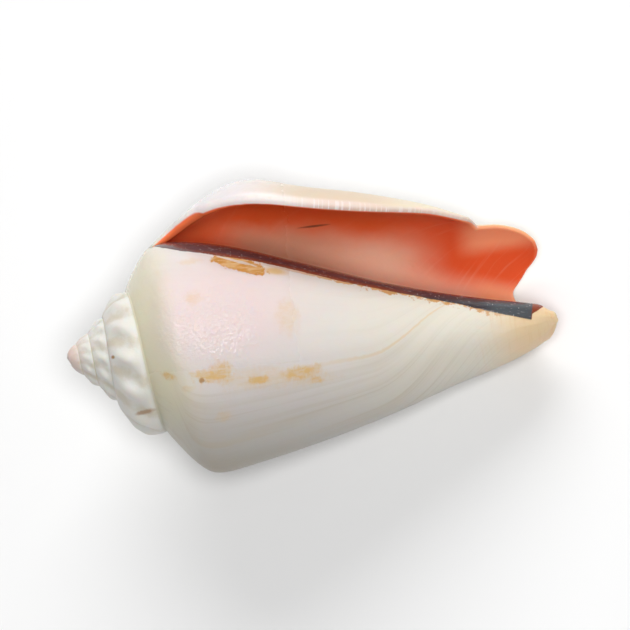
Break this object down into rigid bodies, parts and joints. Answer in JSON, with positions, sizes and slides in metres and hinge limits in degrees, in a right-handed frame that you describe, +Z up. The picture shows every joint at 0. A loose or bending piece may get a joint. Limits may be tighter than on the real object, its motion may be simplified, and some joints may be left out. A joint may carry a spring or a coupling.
{
  "type": "strawberry conch shell",
  "caption": "Strawberry conch shell lying mouth up, with a pale porcelain outside, orange hollow and dark inner lip.",
  "frame": {"origin": "under the middle of the shell, on the surface that it lies on", "axes": "+X from the spire to the front end, +Y towards the outer lip, +Z up, the way that the mouth faces"},
  "size_m": [0.0586, 0.0356, 0.0294],
  "materials": {
    "shell": "glossy porcelain outside, smooth orange in the hollow, near-black inner lip"
  },
  "bodies": {
    "root": {"conch_shell": "shell"}
  },
  "joints": []
}
